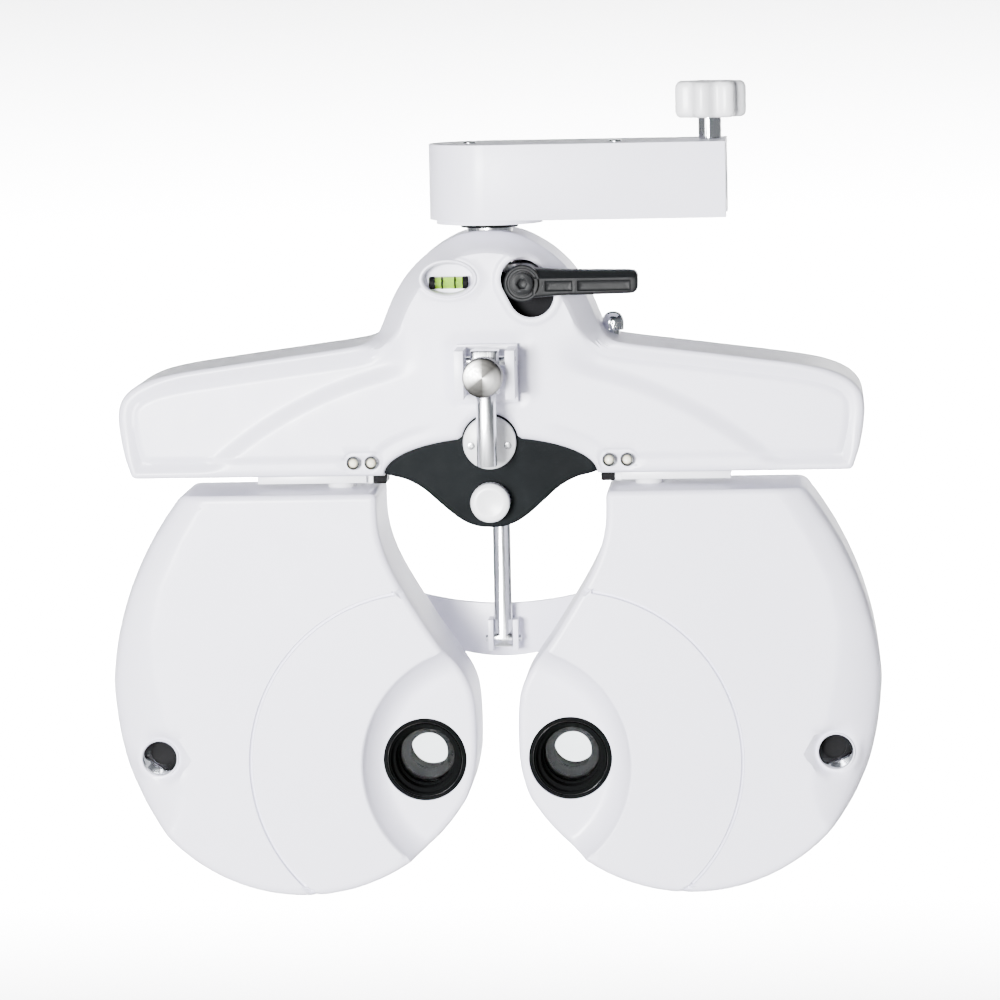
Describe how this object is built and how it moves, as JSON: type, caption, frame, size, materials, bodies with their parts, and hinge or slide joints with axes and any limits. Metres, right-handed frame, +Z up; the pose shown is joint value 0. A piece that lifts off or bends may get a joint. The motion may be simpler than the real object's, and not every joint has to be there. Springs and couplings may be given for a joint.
{
  "type": "phoropter",
  "caption": "Motorised refractor head on a swivel arm: paired lens units that slide and converge, with forehead rest, level, near rod holder and clamp levers.",
  "frame": {"origin": "centre of the stand socket's mouth at the right end of the arm", "axes": "+X to the examiner's right and out of the stand socket, +Y from the examiner towards the patient, +Z up"},
  "size_m": [0.3378, 0.1332, 0.3532],
  "materials": {
    "white_shell": "white moulded plastic with a fine satin texture",
    "soft_shield": "soft translucent white face shield",
    "cast_alloy": "bead blasted cast alloy",
    "brass": "machined",
    "bright_steel": "turned and brushed",
    "black_plastic": "black moulded plastic, low sheen",
    "motor_case": "black oxide",
    "lamp_lens": "clear domed lamp",
    "vial": "green level fluid in clear glass",
    "window_glass": "coated clear glass",
    "wheel_alloy": "anodised",
    "pad_rubber": "soft pale silicone"
  },
  "bodies": {
    "arm": {"arm_housing": "white_shell", "arm_base_plate": "white_shell", "arm_core": "cast_alloy", "swivel_bush": "brass"},
    "arm_clamp": {"star_knob": "white_shell"},
    "swivel": {"swivel_shaft": "bright_steel", "thrust_washer": "black_plastic", "tilt_plate": "cast_alloy", "lever_stud": "black_plastic"},
    "lever": {"clamp_lever": "black_plastic"},
    "head": {"head_frame": "cast_alloy", "front_cover": "white_shell", "rear_cover": "white_shell", "level_bezel": "white_shell", "level_vial": "vial", "centre_fascia": "black_plastic", "hub_disc": "bright_steel", "rod_bracket": "white_shell", "near_rod_pin": "bright_steel", "near_lights": "lamp_lens", "guide_rails": "bright_steel", "pd_motors": "motor_case", "cable_socket": "black_plastic"},
    "level_screw": {"level_knob": "bright_steel"},
    "rod_holder": {"near_rod_bar": "bright_steel"},
    "rod_clamp": {"near_rod_knob": "bright_steel"},
    "brow_slide": {"forehead_slider": "cast_alloy", "forehead_rod": "bright_steel"},
    "brow_screw": {"forehead_knob": "white_shell"},
    "brow_rest": {"forehead_rest": "white_shell", "forehead_pad": "pad_rubber", "forehead_pin": "bright_steel"},
    "carriage_right": {"carriage_right": "cast_alloy"},
    "eye_right": {"eye_front_shell_right": "white_shell", "eye_rear_shell_right": "white_shell", "eye_chassis_right": "cast_alloy", "objective_barrel_right": "black_plastic", "eyepiece_right": "black_plastic", "windows_right": "window_glass", "wheel_motors_right": "motor_case", "sight_window_right": "white_shell", "face_shield_right": "soft_shield"},
    "sphere_wheel_right": {"sphere_wheel_right": "wheel_alloy"},
    "sphere_pinion_right": {"sphere_pinion_right": "brass"},
    "cylinder_wheel_right": {"cylinder_wheel_right": "wheel_alloy"},
    "cylinder_pinion_right": {"cylinder_pinion_right": "brass"},
    "carriage_left": {"carriage_left": "cast_alloy"},
    "eye_left": {"eye_front_shell_left": "white_shell", "eye_rear_shell_left": "white_shell", "eye_chassis_left": "cast_alloy", "objective_barrel_left": "black_plastic", "eyepiece_left": "black_plastic", "windows_left": "window_glass", "wheel_motors_left": "motor_case", "sight_window_left": "white_shell", "face_shield_left": "soft_shield"},
    "sphere_wheel_left": {"sphere_wheel_left": "wheel_alloy"},
    "sphere_pinion_left": {"sphere_pinion_left": "brass"},
    "cylinder_wheel_left": {"cylinder_wheel_left": "wheel_alloy"},
    "cylinder_pinion_left": {"cylinder_pinion_left": "brass"}
  },
  "joints": [
    {"name": "arm_clamp_turn", "type": "hinge", "parent": "arm", "child": "arm_clamp", "pos_m": [-0.007, 0, 0.027], "axis": [0, 0, 1], "range_deg": [-360, 360]},
    {"name": "head_swivel", "type": "hinge", "parent": "arm", "child": "swivel", "pos_m": [-0.104, 0, -0.013], "axis": [0, 0, 1], "range_deg": [-90, 90]},
    {"name": "clamp_lever_turn", "type": "hinge", "parent": "swivel", "child": "lever", "pos_m": [-0.0876, -0.032, -0.0422], "axis": [0, 1, 0], "range_deg": [-30, 60]},
    {"name": "head_level", "type": "hinge", "parent": "swivel", "child": "head", "pos_m": [-0.104, -0.015, -0.057], "axis": [0, 1, 0], "range_deg": [-4, 4]},
    {"name": "level_screw_turn", "type": "hinge", "parent": "head", "child": "level_screw", "pos_m": [-0.051, 0.008, -0.063], "axis": [0, 0, 1], "range_deg": [-1440, 1440]},
    {"name": "rod_holder_fold", "type": "hinge", "parent": "head", "child": "rod_holder", "pos_m": [-0.104, -0.05, -0.075], "axis": [1, 0, 0], "range_deg": [-90, 0]},
    {"name": "rod_clamp_turn", "type": "hinge", "parent": "rod_holder", "child": "rod_clamp", "pos_m": [-0.104, -0.062, -0.0804], "axis": [0, 1, 0], "range_deg": [-360, 360]},
    {"name": "brow_travel", "type": "slide", "parent": "head", "child": "brow_slide", "axis": [0, 1, 0], "range_m": [-0.004, 0.008]},
    {"name": "brow_screw_turn", "type": "hinge", "parent": "head", "child": "brow_screw", "pos_m": [-0.104, -0.032, -0.138], "axis": [0, 1, 0], "range_deg": [-720, 1440]},
    {"name": "brow_tilt", "type": "hinge", "parent": "brow_slide", "child": "brow_rest", "pos_m": [-0.104, 0.038, -0.2077], "axis": [1, 0, 0], "range_deg": [-10, 10]},
    {"name": "pd_travel_right", "type": "slide", "parent": "head", "child": "carriage_right", "axis": [1, 0, 0], "range_m": [-0.007, 0.008]},
    {"name": "convergence_right", "type": "hinge", "parent": "carriage_right", "child": "eye_right", "pos_m": [-0.036, 0.002, -0.143], "axis": [0, 0, -1], "range_deg": [0, 4]},
    {"name": "sphere_wheel_turn_right", "type": "hinge", "parent": "eye_right", "child": "sphere_wheel_right", "pos_m": [-0.019, 0.003, -0.238], "axis": [0, 1, 0], "continuous": true},
    {"name": "sphere_pinion_turn_right", "type": "hinge", "parent": "eye_right", "child": "sphere_pinion_right", "pos_m": [-0.01638, 0.003, -0.16308], "axis": [0, 1, 0], "continuous": true},
    {"name": "cylinder_wheel_turn_right", "type": "hinge", "parent": "eye_right", "child": "cylinder_wheel_right", "pos_m": [-0.019, 0.003, -0.238], "axis": [0, 1, 0], "continuous": true},
    {"name": "cylinder_pinion_turn_right", "type": "hinge", "parent": "eye_right", "child": "cylinder_pinion_right", "pos_m": [0.0162, 0.003, -0.17181], "axis": [0, 1, 0], "continuous": true},
    {"name": "pd_travel_left", "type": "slide", "parent": "head", "child": "carriage_left", "axis": [-1, 0, 0], "range_m": [-0.007, 0.008]},
    {"name": "convergence_left", "type": "hinge", "parent": "carriage_left", "child": "eye_left", "pos_m": [-0.172, 0.002, -0.143], "axis": [0, 0, 1], "range_deg": [0, 4]},
    {"name": "sphere_wheel_turn_left", "type": "hinge", "parent": "eye_left", "child": "sphere_wheel_left", "pos_m": [-0.189, 0.003, -0.238], "axis": [0, 1, 0], "continuous": true},
    {"name": "sphere_pinion_turn_left", "type": "hinge", "parent": "eye_left", "child": "sphere_pinion_left", "pos_m": [-0.19162, 0.003, -0.16308], "axis": [0, 1, 0], "continuous": true},
    {"name": "cylinder_wheel_turn_left", "type": "hinge", "parent": "eye_left", "child": "cylinder_wheel_left", "pos_m": [-0.189, 0.003, -0.238], "axis": [0, 1, 0], "continuous": true},
    {"name": "cylinder_pinion_turn_left", "type": "hinge", "parent": "eye_left", "child": "cylinder_pinion_left", "pos_m": [-0.2242, 0.003, -0.17181], "axis": [0, 1, 0], "continuous": true}
  ],
  "couplings": [
    {"joint": "brow_screw_turn", "follows": "brow_travel", "rad_per_m": 2094.4},
    {"joint": "level_screw_turn", "follows": "head_level", "ratio": 333.01},
    {"joint": "sphere_pinion_turn_right", "follows": "sphere_wheel_turn_right", "ratio": -7.5},
    {"joint": "cylinder_pinion_turn_right", "follows": "cylinder_wheel_turn_right", "ratio": -7.5},
    {"joint": "sphere_pinion_turn_left", "follows": "sphere_wheel_turn_left", "ratio": -7.5},
    {"joint": "cylinder_pinion_turn_left", "follows": "cylinder_wheel_turn_left", "ratio": -7.5}
  ]
}
